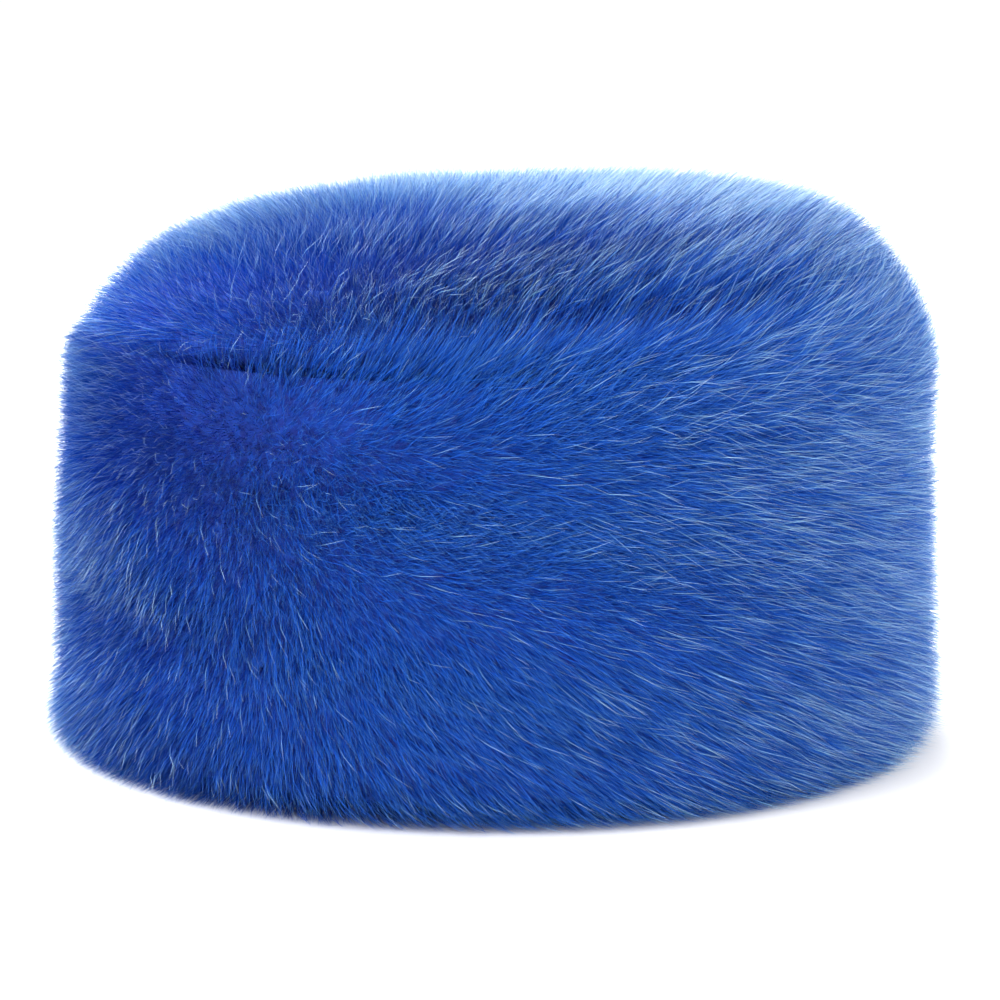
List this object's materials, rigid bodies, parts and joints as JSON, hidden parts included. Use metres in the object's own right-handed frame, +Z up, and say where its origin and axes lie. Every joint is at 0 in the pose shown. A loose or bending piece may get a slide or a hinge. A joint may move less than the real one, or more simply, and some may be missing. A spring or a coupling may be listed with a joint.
{
  "type": "faux fur pillbox toque hat",
  "caption": "Round brimless pillbox hat of long-pile faux fur: a deep side band with a turned hem and a flat crown panel, open below for the head.",
  "frame": {"origin": "on the surface that the hat stands on, under the middle of its box", "axes": "+Z up to the crown, +Y towards the back of the head, +X to the right of one who looks at the front of the hat"},
  "size_m": [0.2622, 0.2794, 0.162],
  "materials": {
    "blue_faux_fur": "long brushed acrylic pile in royal blue, paler and greyer at the tips",
    "ground_cloth": "matt knitted ground cloth of the faux fur, navy"
  },
  "bodies": {
    "root": {"side_band": "blue_faux_fur", "crown": "blue_faux_fur"}
  },
  "joints": []
}
